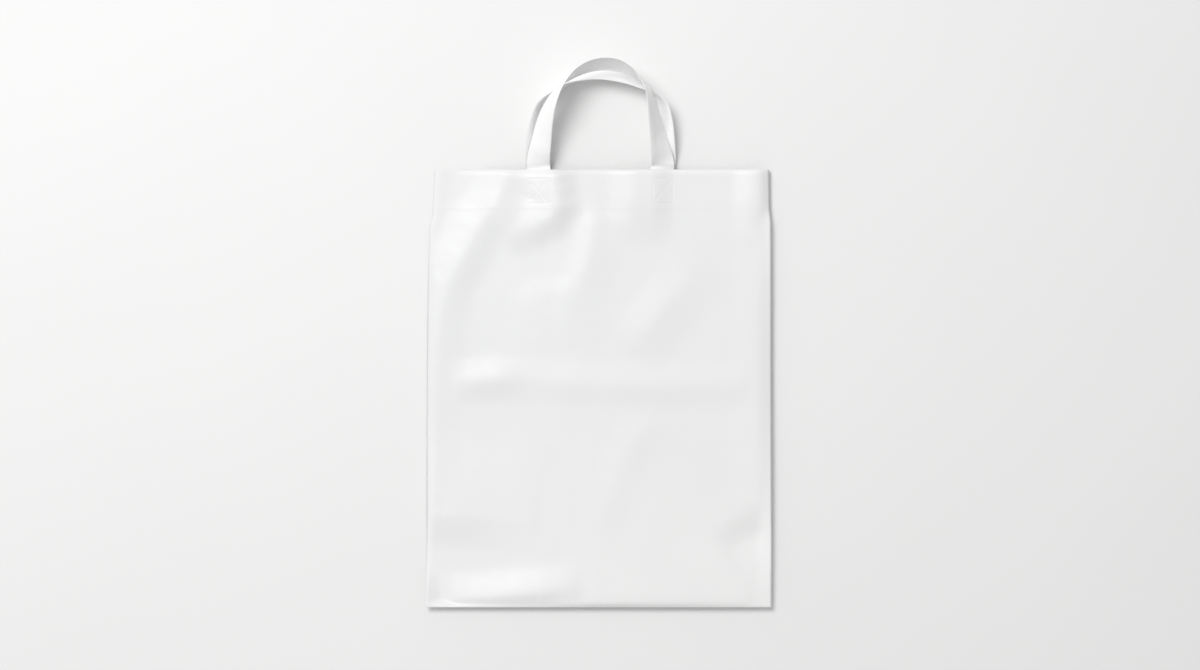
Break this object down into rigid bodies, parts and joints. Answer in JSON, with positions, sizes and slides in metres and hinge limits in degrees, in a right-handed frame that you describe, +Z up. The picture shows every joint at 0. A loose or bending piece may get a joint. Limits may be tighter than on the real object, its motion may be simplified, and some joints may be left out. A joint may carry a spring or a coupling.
{
  "type": "plastic carrier bag",
  "caption": "White film carrier bag with turned-in hem, welded sides and soft loop handles, lying flat on its back panel with the mouth slightly open.",
  "frame": {"origin": "middle of the whole object's footprint, on the surface it lies on", "axes": "+Z up out of the front panel, +Y from the bottom fold towards the handles, +X across the bag"},
  "size_m": [0.35, 0.56, 0.0499],
  "materials": {
    "film": "glossy white opaque low-density polythene film",
    "handle_film": "doubled white low-density polythene film, satin"
  },
  "bodies": {
    "root": {"bag_body": "film", "front_handle": "handle_film", "back_handle": "handle_film"}
  },
  "joints": []
}
